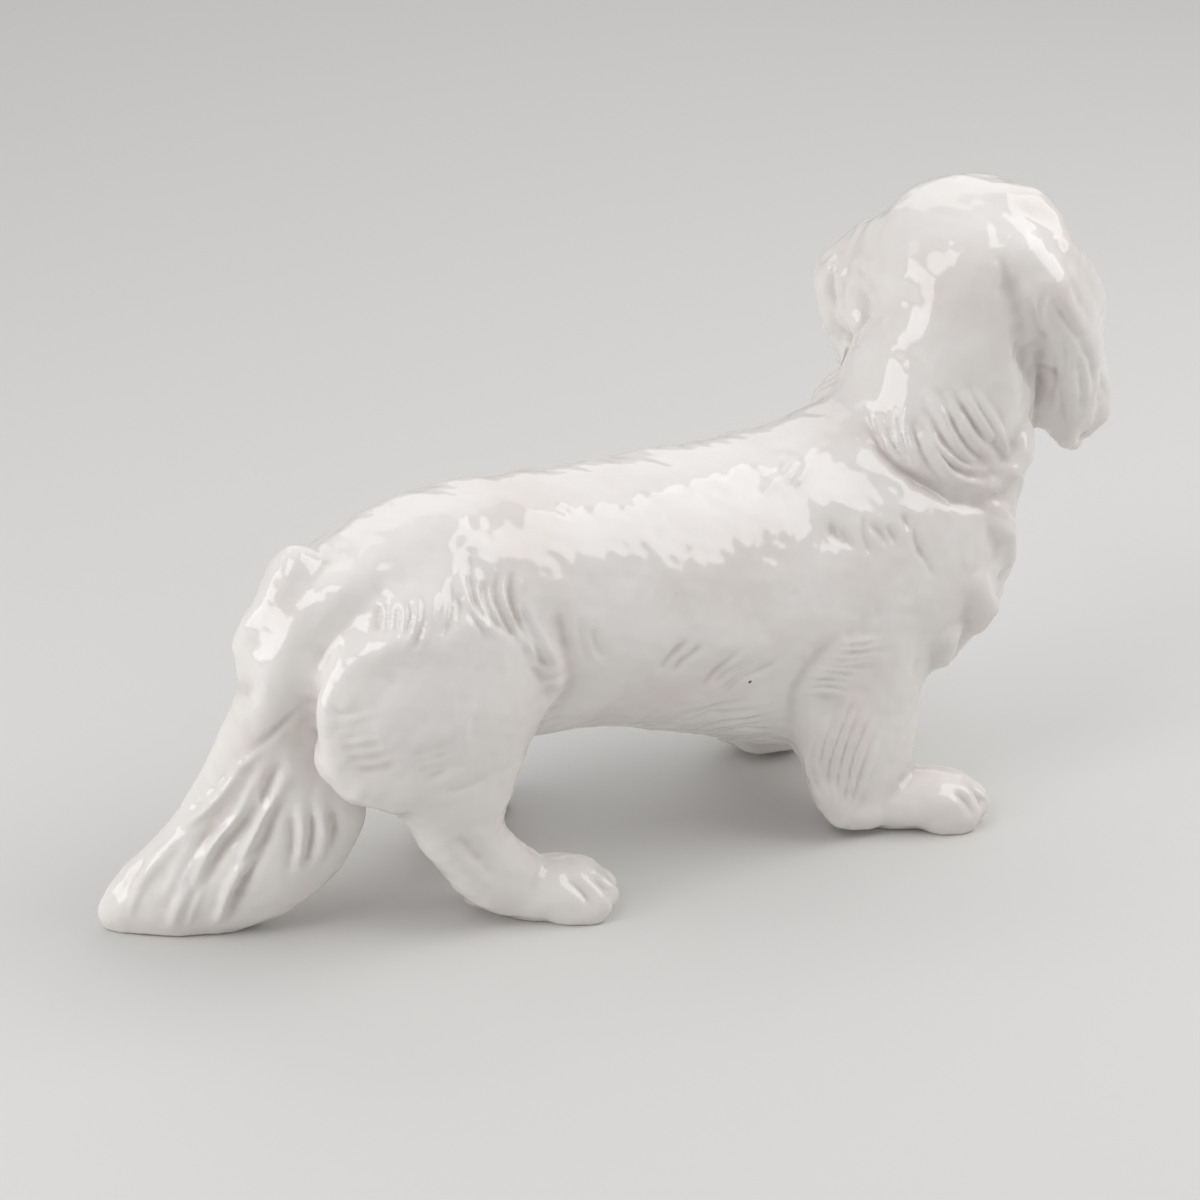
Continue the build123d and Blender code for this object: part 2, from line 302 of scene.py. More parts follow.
# Both sides of the face, in the head's own directions: a swell has a place, its spread and its lift,
# and a roll of clay a path, its radii and the fillet that it melts in by
FACE = {
    "eye_socket": (swell, (36, 22, 15), 6, -1.5),
    "brow": (clay_roll, ((22, 9, 35), (31, 17, 29), (32, 28, 19)), (3, 5, 3), 9),
    "eye": (clay_roll, ((34.5, 21, 15.5), (35.5, 21.5, 15.5)), (5.6, 5.6), 1.5),
    "upper_lid": (clay_roll, ((34, 16, 19), (38, 21, 21), (34, 27, 17)), (1.2, 1.7, 1.2), 2),
    "lower_lid": (clay_roll, ((36, 17, 12), (38.5, 22, 10), (34, 27, 12)), (1, 1.4, 1), 2),
    "cheek": (swell, (24, 34, -12), 10, 2),
    "lip": (clay_roll, ((46, 19, -20), (64, 15, -21), (80, 9, -19)), (5, 6, 5), 8),
}
for side in (-1, 1):
    for shaped, places, size, amount in FACE.values():
        shaped(field, in_head(np.array(places) * (1, side, 1)), size, amount)

# The chin, and the left ear where it grows out of the side of the skull: paths, radii and fillets
HEAD_ROLLS = {
    "chin": (((84, 0, -12), (89, 0, -20)), (6, 4), 6),
    "left_ear_root": (((0, 38, 17), (-3, 39.5, 9), (-5, 41, -1), (-2, 44, -13)), (8, 9, 8, 6), 9),
    "left_ear_fold": (((8, 44, 12), (5, 45, 0), (6, 47, -14)), (7, 8, 6), 9),
}
for places, radii, melt in HEAD_ROLLS.values():
    clay_roll(field, in_head(places), radii, melt)

# Rolls of clay laid on the skin where the photograph shows them: pixels, radii, how deep each is set,
# the fillet that it melts in by, and whether the other side of the body has one too
ROLLS = {
    "nape_left": (((918, 232), (912, 285), (897, 335), (880, 372)), (13, 14, 14, 13), 26, 5, False),
    "ear_flap": (
        ((1024, 262), (1050, 300), (1065, 340), (1071, 380), (1071, 418)), (7, 10, 11.5, 12, 9), 5, 5, False,
    ),
    "ear_front_lobe": (((1060, 250), (1081, 276), (1088, 306), (1082, 328)), (6, 7, 7, 5), 4, 5, False),
    "ear_rear_tip": (((1048, 380), (1044, 402), (1046, 416)), (5, 6, 5), 4, 5, False),
    "ear_front_tip": (((1088, 352), (1094, 385), (1095, 410)), (6, 7, 6), 5, 5, False),
    "ear_middle_tip": (((1068, 404), (1068, 428)), (9, 6.5), 4, 5, False),
    "left_ear_rim": (((834, 268), (828, 288), (834, 322), (846, 354)), (4, 5, 5, 4), 4, 5, False),
    "crown_corner": (((1006, 204), (1030, 208), (1046, 226)), (6, 7, 6), 8, 10, False),
    "ruff_end": (((992, 482), (1008, 470), (1018, 452), (1020, 434)), (5, 6, 6, 5), 4, 5, False),
    "bib_upper": (((990, 506), (1000, 530), (1002, 556)), (5, 7, 5), 5, 5, True),
    "bib_lower": (((972, 582), (980, 604), (972, 622)), (6, 7, 5), 5, 5, True),
    "bib_foot": (((946, 636), (940, 654)), (6, 5), 4, 5, True),
    "thigh_fringe": (((340, 760), (360, 779), (392, 790)), (9, 9.5, 7.5), 8, 10, True),
    "tail_tuft": (((280, 596), (261, 624), (252, 645), (256, 668)), (5, 7, 7, 5), 7, 9, False),
    "tail_root": (((352, 600), (338, 630), (326, 660)), (9, 9, 7), 8, 9, False),
    "elbow_fringe": (((826, 790), (842, 812), (866, 814)), (6, 7, 5), 5, 5, True),
}


def skin_tree(points, quads):
    """The skin as a tree that finds where rays meet it, and its nearest points."""
    return BVHTree.FromPolygons(points.tolist(), quads.tolist())


def met(hits):
    """The hits that met the skin."""
    return np.array([hit for hit in hits if hit])


def view_rays(pixels):
    """The directions in which the camera sees the photograph's pixels, one long along its own axis."""
    offsets = (np.array(pixels) - PHOTO_SIDE / 2) / (PIXELS_PER_MM * CAMERA_DISTANCE)
    return view_ahead + offsets[:, :1] * view_right - offsets[:, 1:] * view_up


def seen_points(skin, pixels):
    """The points of the skin that the camera sees at the photograph's pixels, where it sees any."""
    return met([skin.ray_cast(camera_place, ray)[0] for ray in view_rays(pixels)])


def sunk_path(skin, pixels, depth):
    """Points behind the pixels that run evenly between a depth under the skin at either end."""
    ends = (seen_points(skin, (pixels[0], pixels[-1])) - camera_place) @ view_ahead + depth
    return camera_place + view_rays(pixels) * np.linspace(ends[0], ends[-1], len(pixels))[:, None]


bare_skin = skin_tree(*skin_of(field))
for pixels, radii, depth, melt, both_sides in ROLLS.values():
    path = sunk_path(bare_skin, pixels, depth)
    clay_roll(field, path, radii, melt)
    if both_sides:
        clay_roll(field, path * (1, -1, 1), radii, melt)

# Rolls that follow the skin: pixels, the depth under the skin at each, radii and fillets. They are the
# ridge of the tail's root, from the rump to the fork of its locks, and the right ear's shelf, where it
# leaves the skull before it hangs down.
LAID_ROLLS = {
    "tail_ridge": (
        ((366, 572), (332, 598), (304, 624), (282, 662), (262, 706)), (6, 6, 6, 6, 6), (7, 9, 10, 9, 7), 9,
    ),
    "ear_shelf": (((1034, 254), (1050, 286), (1064, 312), (1074, 334)), (7, 2, -4, -4), (6, 9, 11, 9), 14),
}
for pixels, depths, radii, melt in LAID_ROLLS.values():
    path = seen_points(bare_skin, pixels) + np.array(depths)[:, None] * view_ahead
    clay_roll(field, path, radii, melt)

# Broad slopes, each a pixel, a spread and a lift: the left ear's top, the nape and the tail below its root
SLOPES = (
    ((846, 236), 9, -3),
    ((909, 336), 9, 2),
    ((300, 650), 11, 2),
    ((290, 690), 11, 4),
    ((268, 730), 12, 3),
)
for pixel, spread, lift in SLOPES:
    swell(field, seen_points(bare_skin, [pixel])[0], spread, lift)

# The valley behind the right ear, shallower at its ends
EAR_VALLEY = ((1002, 262), (1011, 288), (1020, 318), (1027, 348), (1033, 378))
furrow(field, seen_points(bare_skin, EAR_VALLEY), radii=(-7, -1, 0, 0, -4), width=3.6, depth=7)

# The far hind leg is shaved where it would show beside the near one
FAR_LEG = ((513, 795), (509, 815))
for place in seen_points(bare_skin, FAR_LEG):
    if place[1] > 0:
        swell(field, place, spread=6, lift=-4)

# Notches along the view: between the locks at the foot of the right ear, and under the tail's tuft
EAR_NOTCHES = ((-8.7, -36.6, -67), (-1.3, -50, -66))
TUFT_NOTCH = (249, 690)
NOTCH_START = 14


def notch(place, end, width, depth):
    """Cuts a furrow straight along the view, from the notches' start before a place to an end behind it."""
    path = [place - NOTCH_START * view_ahead, place + end * view_ahead]
    furrow(field, path, (0, 0), width, depth)


for place in in_head(EAR_NOTCHES):
    notch(place, end=14, width=2.5, depth=2.5)
notch(seen_points(bare_skin, [TUFT_NOTCH])[0], end=20, width=3.5, depth=4)

# The skin, cut off at the ground
heights = (np.arange(grid_shape[2]) + grid_first[2]) * GRID_STEP
field = np.maximum(field, -heights.astype(np.float32))
points, quads = skin_of(field)
points = relaxed(points, quads)
points[:, 2] = np.maximum(points[:, 2], 0)

# Broad forms as lines of the photograph's pixels: the ruff and its crease, the fold of the flank, the
# haunch, the tail's root, the creases round the legs and the layers of the ears. A group's lift is its
# height, or its depth below zero. Far names the plane that carries it to the other side: the body's
# own where it isn't given, and none where it is empty.
FORMS = {
    "ruff_crease": dict(lift=-3.0, width=4.0, lines=(
        ((869, 421), (887, 455), (912, 473), (935, 487), (951, 498), (976, 503), (1005, 496)),
    )),
    "ruff_overhang": dict(lift=1.6, width=7.0, lines=(
        ((885, 408), (903, 442), (928, 464), (957, 482), (990, 488)),
    )),
    "flank_fold": dict(lift=2.2, width=5.0, lines=(
        ((520, 590), (533, 632), (552, 664), (557, 688), (541, 709), (534, 738)),
    )),
    "flank_hollow": dict(lift=-2.0, width=5.5, lines=(
        ((548, 610), (563, 645), (571, 684), (556, 716), (546, 745)),
    )),
    "haunch_brow": dict(lift=1.8, width=6.0, lines=(
        ((334, 672), (365, 656), (409, 645), (440, 648)),
    )),
    "haunch_hollow": dict(lift=-1.8, width=14.0, lines=(
        ((345, 690), (400, 676), (460, 680)),
    )),
    "tail_ridge": dict(far="tail", lift=2.6, width=9.0, lines=(
        ((368, 572), (330, 598), (300, 622), (277, 665), (256, 715)),
    )),
    "tail_valley": dict(lift=-2.0, width=7.0, lines=(
        ((330, 640), (314, 680), (306, 730), (312, 775)),
    )),
    "thigh_edge": dict(lift=2.0, width=5.0, lines=(
        ((372, 612), (342, 650), (326, 690), (325, 735), (340, 778), (366, 800)),
    )),
    "foreleg_crease": dict(lift=-2.4, width=5.0, lines=(
        ((842, 634), (815, 660), (797, 690), (793, 722), (793, 755)),
    )),
    "foreleg_edge": dict(lift=1.6, width=5.0, lines=(
        ((850, 640), (825, 664), (806, 684), (803, 715), (805, 750), (815, 790)),
    )),
    "pastern_crease": dict(lift=-2.2, width=4.0, lines=(
        ((456, 835), (473, 853), (496, 879)),
    )),
    "thigh_seam": dict(lift=1.3, width=2.6, lines=(
        ((475, 702), (465, 722), (463, 749)),
    )),
    "ear_layers": dict(far="", lift=-1.6, width=3.2, lines=(
        ((1064, 250), (1078, 290), (1092, 326)),
        ((1040, 362), (1052, 374), (1064, 376)),
    )),
    "left_ear_hollow": dict(far="", lift=-4.0, width=8.0, lines=(
        ((862, 270), (856, 295), (858, 330)),
    )),
}

SEED = 11
rng = np.random.default_rng(SEED)

# Locks on the breast: the heights of their rows, half the turn of a row in degrees, and how many it has
CHEST_ROWS = (168, 150, 132, 114, 96, 78)
CHEST_HALF_TURN = 42
CHEST_LOCKS = 6
LOCK_DROP = 24
LOCK_SWAY = 3
LOCK_MIDDLE, LOCK_TIP = 0.95, 0.84


def chest_locks():
    """Rows of locks as turns round the chest and heights: each falls towards the breastbone.

    A lock's middle and tip keep a share of the turn at its root, and the root and middle sway a little.
    """
    locks = []
    for row, height in enumerate(CHEST_ROWS):
        for turn in np.linspace(-CHEST_HALF_TURN, CHEST_HALF_TURN, CHEST_LOCKS + row % 2):
            sway = rng.uniform(-LOCK_SWAY, LOCK_SWAY, 2)
            locks.append((
                (turn + sway[0], height),
                (turn * LOCK_MIDDLE + sway[1], height - LOCK_DROP / 2),
                (turn * LOCK_TIP, height - LOCK_DROP),
            ))
    return locks


# Strokes of the loop tool: lines of the photograph's pixels, places in the head's own directions, or
# turns round the chest and heights. Between says how many more are drawn between each two of a group.
RUFF_STRANDS = (
    ((876, 416), (885, 435), (894, 450), (912, 467)),
    ((893, 410), (896, 432), (903, 448), (914, 466)),
    ((905, 407), (905, 426), (909, 448), (916, 464), (932, 476)),
    ((919, 430), (928, 442), (942, 466), (962, 480), (987, 485)),
    ((928, 421), (934, 439), (946, 455), (962, 466), (984, 469)),
    ((928, 394), (941, 412), (953, 439), (966, 455), (978, 462)),
    ((948, 398), (960, 420), (972, 440), (985, 455)),
    ((960, 389), (973, 410), (985, 430), (992, 439)),
    ((975, 392), (988, 415), (1000, 440), (1008, 456)),
)
STROKES = {
    "ruff": dict(lift=2.6, width=2.5, lines=RUFF_STRANDS),
    "ruff_hair": dict(lift=0.8, width=1.3, between=1, lines=RUFF_STRANDS),
    "shoulder": dict(lift=-1.3, width=2.0, lines=(
        ((830, 521), (837, 535), (853, 546)),
        ((839, 528), (846, 538), (856, 548)),
        ((864, 516), (864, 534), (871, 555)),
        ((869, 523), (880, 532), (889, 546)),
        ((886, 525), (892, 533), (897, 545)),
        ((903, 512), (906, 522), (912, 532)),
        ((914, 521), (917, 544), (937, 578)),
    )),
    "withers": dict(lift=0.9, width=1.6, lines=(
        ((764, 496), (772, 484), (780, 474)),
        ((776, 487), (786, 474), (796, 461)),
        ((792, 489), (800, 478), (808, 466)),
    )),
    "foreleg_rings": dict(lift=1.4, width=1.8, lines=(
        ((837, 643), (858, 641), (878, 638)),
        ((832, 649), (856, 648), (880, 646)),
        ((824, 656), (850, 656), (880, 654)),
        ((819, 663), (848, 662), (875, 660)),
        ((812, 670), (837, 668), (858, 671)),
        ((804, 677), (830, 674), (850, 679)),
        ((806, 684), (830, 681), (846, 686)),
        ((806, 692), (826, 689), (842, 694)),
    )),
    "foreleg_feather": dict(lift=1.6, width=1.6, lines=(
        ((815, 730), (808, 755), (812, 780), (822, 802)),
        ((826, 720), (818, 745), (818, 770), (828, 800)),
        ((852, 697), (840, 717), (830, 743), (824, 773), (830, 804)),
        ((858, 702), (845, 727), (837, 753), (833, 784), (836, 808)),
        ((868, 712), (855, 733), (847, 758), (842, 784), (838, 810)),
        ((873, 720), (860, 748), (853, 779), (847, 806)),
        ((880, 735), (868, 765), (860, 790), (852, 812)),
    )),
    "belly": dict(lift=-1.1, width=2.0, between=1, lines=(
        ((690, 715), (715, 708), (750, 700)),
        ((705, 728), (728, 721), (766, 717)),
        ((715, 735), (743, 729), (768, 730)),
    )),
    "side": dict(lift=-1.4, width=1.9, between=1, lines=(
        ((660, 670), (672, 655), (690, 640)),
        ((700, 690), (716, 672), (740, 650)),
        ((720, 684), (738, 671), (763, 659)),
        ((722, 697), (743, 679), (779, 661)),
    )),
    "flank": dict(lift=-1.9, width=1.9, lines=(
        ((461, 599), (475, 622), (491, 647)),
        ((470, 554), (468, 579), (477, 606), (491, 629)),
        ((486, 579), (486, 597), (497, 622), (511, 634)),
        ((499, 570), (496, 596), (506, 620), (516, 640)),
        ((513, 568), (511, 595), (518, 622), (527, 648)),
        ((525, 584), (525, 609), (536, 634), (552, 660)),
        ((531, 641), (543, 661), (556, 669)),
        ((529, 668), (543, 679), (556, 681)),
    )),
    "flank_ridges": dict(lift=1.4, width=1.8, lines=(
        ((463, 592), (472, 619), (492, 648)),
        ((466, 560), (466, 584), (475, 613), (498, 636)),
        ((504, 590), (510, 613), (530, 648), (559, 671)),
        ((521, 584), (530, 619), (545, 645), (559, 665)),
        ((530, 671), (545, 680), (559, 685)),
        ((438, 595), (434, 622), (424, 648)),
        ((420, 598), (417, 622), (408, 646)),
    )),
    "flank_front": dict(lift=-1.2, width=2.6, lines=(
        ((562, 612), (562, 630), (567, 650)),
        ((580, 615), (582, 640), (592, 668)),
        ((592, 628), (596, 645), (604, 660)),
    )),
    "haunch_top": dict(lift=-1.6, width=2.0, lines=(
        ((380, 604), (379, 618), (376, 632)),
        ((388, 600), (388, 616), (386, 634)),
        ((397, 604), (397, 618), (396, 634)),
        ((410, 600), (411, 618), (408, 638)),
        ((422, 591), (420, 627), (413, 652)),
        ((440, 595), (436, 620), (424, 652)),
        ((452, 581), (452, 613), (443, 641)),
        ((458, 590), (459, 612), (456, 632)),
    )),
    "haunch_side": dict(lift=-1.2, width=2.4, between=1, lines=(
        ((330, 706), (345, 714), (374, 708)),
        ((336, 730), (352, 731), (378, 727)),
        ((340, 748), (358, 749), (384, 745)),
        ((352, 768), (372, 770), (400, 764)),
    )),
    "shank": dict(lift=-0.9, width=2.6, between=1, lines=(
        ((410, 756), (430, 752), (455, 742)),
        ((414, 770), (436, 768), (462, 760)),
        ((440, 790), (462, 788), (490, 776)),
    )),
    "tail_fork": dict(far="tail", lift=-1.8, width=2.0, lines=(
        ((298, 710), (275, 733), (252, 755)),
    )),
    "tail_locks": dict(far="tail", lift=-2.0, width=2.6, lines=(
        ((281, 762), (270, 787), (262, 808)),
        ((259, 786), (242, 826), (222, 851), (202, 890)),
        ((217, 822), (199, 844), (182, 872), (163, 904)),
        ((280, 800), (266, 840), (246, 880), (230, 915)),
        ((291, 815), (294, 845), (289, 872)),
        ((312, 812), (312, 838), (306, 864)),
        ((332, 810), (336, 830), (330, 850)),
        ((150, 856), (134, 880), (120, 906)),
    )),
    "tail_hair": dict(far="tail", lift=0.9, width=1.6, lines=(
        ((236, 776), (214, 804), (190, 824)),
        ((254, 778), (238, 812), (216, 838), (200, 862)),
        ((278, 782), (262, 816), (248, 846), (232, 880)),
        ((210, 842), (188, 872), (172, 904)),
        ((176, 846), (150, 874), (130, 904)),
        ((246, 866), (228, 898), (214, 926)),
        ((150, 874), (136, 898), (130, 916)),
        ((204, 886), (194, 908), (188, 926)),
        ((296, 806), (299, 836), (293, 866)),
        ((317, 806), (318, 832), (312, 860)),
        ((270, 738), (252, 758), (236, 770)),
    )),
    "tail_ridges": dict(far="tail", lift=2.0, width=2.6, lines=(
        ((246, 760), (226, 788), (204, 813), (180, 828)),
        ((263, 768), (247, 808), (225, 834), (208, 857), (188, 894)),
        ((288, 768), (273, 800), (258, 831), (240, 864)),
        ((262, 850), (232, 882), (218, 925)),
        ((198, 844), (175, 880), (164, 900)),
        ((186, 832), (158, 856), (132, 888), (119, 912)),
        ((192, 882), (180, 904), (172, 928)),
        ((301, 800), (303, 835), (297, 868)),
        ((322, 800), (324, 835), (318, 862)),
    )),
    "ear_locks": dict(far="", lift=-1.3, width=2.1, lines=(
        ((1030, 296), (1036, 322), (1048, 346)),
        ((1064, 338), (1066, 362), (1062, 384)),
        ((1076, 336), (1090, 360), (1096, 390)),
        ((1052, 352), (1054, 378), (1050, 404)),
        ((1047, 290), (1040, 316), (1047, 340)),
        ((1058, 380), (1060, 400), (1066, 424)),
        ((1077, 355), (1082, 385), (1082, 415)),
        ((1052, 300), (1066, 322), (1084, 345)),
        ((850, 262), (842, 290), (845, 330)),
        ((838, 262), (830, 285), (835, 325)),
    )),
    "ear_outsides": dict(on="head", far="head", lift=-1.0, width=2.6, lines=(
        ((-4, 64, 4), (-1, 64, -18), (-5, 62, -40), (-3, 60, -58)),
        ((7, 64, 8), (10, 64, -15), (6, 64, -36), (8, 60, -60)),
        ((18, 62, 4), (20, 64, -18), (16, 62, -40), (17, 60, -56)),
    )),
    "mouth": dict(on="head", far="head", lift=-1.5, width=1.5, lines=(
        ((90, 0, -17), (84, 9, -19), (72, 17, -20), (58, 21, -19), (44, 26, -15), (38, 29, -9)),
    )),
    "muzzle_furrow": dict(on="head", far="", lift=-1.0, width=1.3, lines=(
        ((94, 0, -6), (92, 0, -11), (90, 0, -16)),
        ((22, 0, 36), (36, 0, 20), (46, 0, 15)),
    )),
    "nostrils": dict(on="head", far="head", lift=-2.2, width=1.4, lines=(
        ((94, 3, -4), (92, 7, -4), (88, 9, -6)),
    )),
    "nose_edge": dict(on="head", far="head", lift=-1.2, width=1.4, lines=(
        ((84, 0, 6), (84, 8, 2), (84, 11, -4), (88, 8, -10), (91, 0, -12)),
    )),
    "chest": dict(on="chest", far="", lift=1.2, width=3.2, lines=chest_locks()),
    "toes": dict(lift=-2.2, width=2.2, lines=(
        ((567, 879), (582, 891), (597, 914)),
        ((590, 872), (604, 886), (614, 902)),
        ((952, 789), (967, 802), (975, 818)),
        ((968, 780), (980, 795), (986, 806)),
    )),
}

# The points of a stroke's line. Lines drawn between two others wander, and are spaced unevenly.
LINE_POINTS = 14
BEND_KNOTS = 4
WANDER = 1.5
UNEVENNESS = 0.3


def smooth_line(knots):
    """Points on the cubic curve through the knots, whose slope at each is half the step past it,
    from the knot before to the knot after.
    """
    knots = np.array(knots, float)
    padded = np.concatenate([2 * knots[:1] - knots[1:2], knots, 2 * knots[-1:] - knots[-2:-1]])
    place = np.linspace(0, len(knots) - 1, LINE_POINTS)
    start = np.minimum(place.astype(int), len(knots) - 2)
    share = (place - start)[:, None]
    a, b, c, d = (padded[start + step] for step in range(4))
    return b + share / 2 * (c - a + share * (2 * a - 5 * b + 4 * c - d + share * (3 * (b - c) + d - a)))


def drawn_lines(lines, between):
    """The lines made smooth, and more of them between each two neighbours, which wander a little."""
    smooth = [smooth_line(line) for line in lines]
    for first, last in zip(smooth[:-1], smooth[1:]):
        for step in range(between):
            share = (step + 0.5 + UNEVENNESS * rng.uniform(-1, 1)) / between
            bend = smooth_line(rng.normal(0, WANDER, (BEND_KNOTS, 2)))
            smooth.append(first + share * (last - first) + bend)
    return smooth


# The planes, each a point and a normal, that carry a line to the other side of the body, tail or head
TAIL_MIDDLE = np.array([-95, 0, 0])
FAR_SIDES = {
    "body": (np.zeros(3), np.array([0, 1, 0])),
    "tail": (TAIL_MIDDLE, view_level),
    "head": (HEAD_MIDDLE, head_left),
}
FAR_REACH = 10

# The foot of the upright axis that the breast's locks turn about, and a distance outside the figure
CHEST_AXIS = np.array([150, 0, 0])
OUTSIDE = 250


def on_skin(skin, group, line):
    """A line as points of the skin: seen at the photograph's pixels, nearest to places in the head's
    frame, or met from outside at a turn round the chest and a height.
    """
    if group["on"] == "photo":
        return seen_points(skin, line)
    if group["on"] == "head":
        return met([skin.find_nearest(place)[0] for place in in_head(line)])
    turns = np.radians(line[:, 0])
    ways = np.stack([np.cos(turns), np.sin(turns), 0 * turns], axis=1)
    starts = CHEST_AXIS + OUTSIDE * ways + line[:, 1:] * UP
    return met([skin.ray_cast(start, -way)[0] for start, way in zip(starts, ways)])


def far_side(skin, path, plane):
    """A path carried through the plane to the skin of the other side, where that lies within reach."""
    middle, normal = FAR_SIDES[plane]
    away = (path - middle) @ normal
    return met([skin.find_nearest(place, FAR_REACH)[0] for place in path - 2 * away[:, None] * normal])


# A stroke is felt out to a few widths from its path, which has at least three points. It tapers as a
# power of a half wave along the path, taken from just inside its ends.
STROKE_REACH = 2.2
FEWEST_POINTS = 3
STROKE_ENDS = 0.02
TAPER_POWER = 0.6


def pressed(points, quads, groups):
    """The skin with each group's strokes raised or cut along its normals.

    A stroke's height falls off from its path as a bell of its width, and tapers towards both ends.
    Where strokes of one group meet, the higher one counts.
    """
    skin = skin_tree(points, quads)
    height = np.zeros(len(points))
    for group in groups.values():
        group = {"on": "photo", "between": 0, "far": "body", **group}
        paths = [on_skin(skin, group, line) for line in drawn_lines(group["lines"], group["between"])]
        if group["far"]:
            paths += [far_side(skin, path, group["far"]) for path in paths if len(path)]
        paths = [path for path in paths if len(path) >= FEWEST_POINTS]
        layer = np.zeros(len(points))
        for path in paths:
            reach = STROKE_REACH * group["width"]
            near = np.flatnonzero(((points > path.min(0) - reach) & (points < path.max(0) + reach)).all(1))
            along = np.diff(path, axis=0)
            offset = points[near, None] - path[None, :-1]
            share = np.clip((offset * along).sum(2) / ((along ** 2).sum(1) + TINY), 0, 1)
            gaps = np.linalg.norm(offset - share[..., None] * along, axis=2)
            closest = gaps.argmin(1)
            rows = np.arange(len(near))
            travel = (closest + share[rows, closest]) / len(along)
            taper = np.sin(np.clip(travel, STROKE_ENDS, 1 - STROKE_ENDS) * tau / 2) ** TAPER_POWER
            shape = taper * np.exp(-(gaps[rows, closest] / group["width"]) ** 2)
            layer[near] = np.maximum(layer[near], shape)
        height += group["lift"] * layer
    return points + height[:, None] * corner_normals(points, quads)


# The maker's hand leaves lumps, broad and fine ones: their shortest and longest waves and their height
BROAD_LUMPS = (16, 45, 0.32)
FINE_LUMPS = (6, 14, 0.085)
WAVES = 40
SEAM_PASSES = 12


def lumps(points, shortest, longest, height):
    """Uneven swells at each point: sine waves of many directions, lengths and phases, summed."""
    ways = rng.normal(size=(WAVES, 3))
    lengths = np.exp(rng.uniform(np.log(shortest), np.log(longest), WAVES))
    ways /= (np.linalg.norm(ways, axis=1) * lengths)[:, None]
    return height * np.sqrt(2 / WAVES) * np.sin(tau * (points @ ways.T + rng.uniform(size=WAVES))).sum(1)


def parted(points, quads):
    """Each face's casting: the nearest one, after the distances are averaged over their neighbours."""
    reach = np.stack([sampled(distances(*cad_triangles(node)), points) for node in nodes], axis=1)
    for _ in range(SEAM_PASSES):
        reach = neighbour_mean(reach, quads)
    return reach[quads].mean(1).argmin(1)


seams = parted(points, quads)
points = pressed(points, quads, FORMS)
points = pressed(points, quads, STROKES)
hand_lumps = lumps(points, *BROAD_LUMPS) + lumps(points, *FINE_LUMPS)
points = points + hand_lumps[:, None] * corner_normals(points, quads)
points = np.clip(points, (*grid_low[:2], 0), grid_high)
normals = corner_normals(points, quads)

# Glaze pools, and painted shade darkens the colour, where a corner lies below the mean of the skin round it
POOL_AND_SHADE_PASSES, POOL_AND_SHADE_FLOOR, POOL_AND_SHADE_DEPTH = 12, 0.08, 0.9
around = points
for _ in range(POOL_AND_SHADE_PASSES):
    around = neighbour_mean(around, quads)
pooling_and_shade = np.clip((((around - points) * normals).sum(1) - POOL_AND_SHADE_FLOOR) / POOL_AND_SHADE_DEPTH, 0, 1)


def linear(hex_colour):
    """A colour written as sRGB hex, in linear light with full alpha."""
    share = np.array([int(hex_colour[i:i + 2], 16) for i in (1, 3, 5)]) / 255
    light = np.where(share <= 0.04045, share / 12.92, ((share + 0.055) / 1.055) ** 2.4)
    return (*light, 1)


def add_node(tree, kind, sockets=(), **settings):
    """Adds a node with its settings. Each socket takes a value or another node's output."""
    added = tree.nodes.new("ShaderNode" + kind)
    for name, value in settings.items():
        setattr(added, name, value)
    for name, value in dict(sockets).items():
        if isinstance(value, bpy.types.NodeSocket):
            tree.links.new(value, added.inputs[name])
        else:
            added.inputs[name].default_value = value
    return added


def new_material(name):
    """A material whose node tree is empty, and that tree."""
    material = bpy.data.materials.new(name)
    material.use_nodes = True
    material.node_tree.nodes.clear()
    return material, material.node_tree


# Tin-white glaze over cast earthenware, fired glossy: it pools a little greyer and warmer in the
# hollows, where painted shade darkens it too, clouds faintly where it lay thicker, ripples like orange
# peel and is pricked by pinholes and a few rusty specks from the clay
CLOUD_SIZE, CLOUD_DETAIL = 42, 3
CLOUD_THIN, CLOUD_THICK = 0.42, 0.72
RIPPLE_SIZE, RIPPLE_DETAIL = 3.2, 1
PEEL_HEIGHT, PEEL_STRENGTH = 0.05, 0.35
GLOSSIEST, DULLEST = 0.05, 0.14
GLAZE_IOR = 1.6
PINHOLE_SPACING, PINHOLE_RADIUS, PINHOLE_SHARE = 11, 0.35, 0.3
SPECK_SPACING, SPECK_RADIUS, SPECK_SHARE = 16, 0.3, 0.18
DOT_OUTER, DOT_INNER = 1.4, 0.6
IRON_SPECK, IRON_RADIUS = (750, 682), 0.8
IRON_OUTER, IRON_INNER = 1.2, 0.7
glaze, tree = new_material("tin_white_glaze")
place = add_node(tree, "TexCoord").outputs["Object"]
cloud = add_node(tree, "TexNoise", {
    "Vector": place, "Scale": MM / CLOUD_SIZE, "Detail": CLOUD_DETAIL,
}).outputs[0]
warmth = add_node(tree, "MapRange", {
    "Value": cloud, "From Min": CLOUD_THIN, "From Max": CLOUD_THICK,
}).outputs[0]
# Painted shade with glaze pooling: the hollows mix towards a greyer, warmer tone
pool_and_shade = add_node(tree, "Attribute", attribute_name="pooling_and_shade").outputs["Fac"]
clouded = add_node(tree, "MixRGB", {
    "Fac": warmth, "Color1": linear("#EBE8E5"), "Color2": linear("#E6DEDA"),
}).outputs[0]
pooled_and_shaded = add_node(tree, "MixRGB", {"Fac": pool_and_shade, "Color1": clouded, "Color2": linear("#D2CAC5")}).outputs[0]


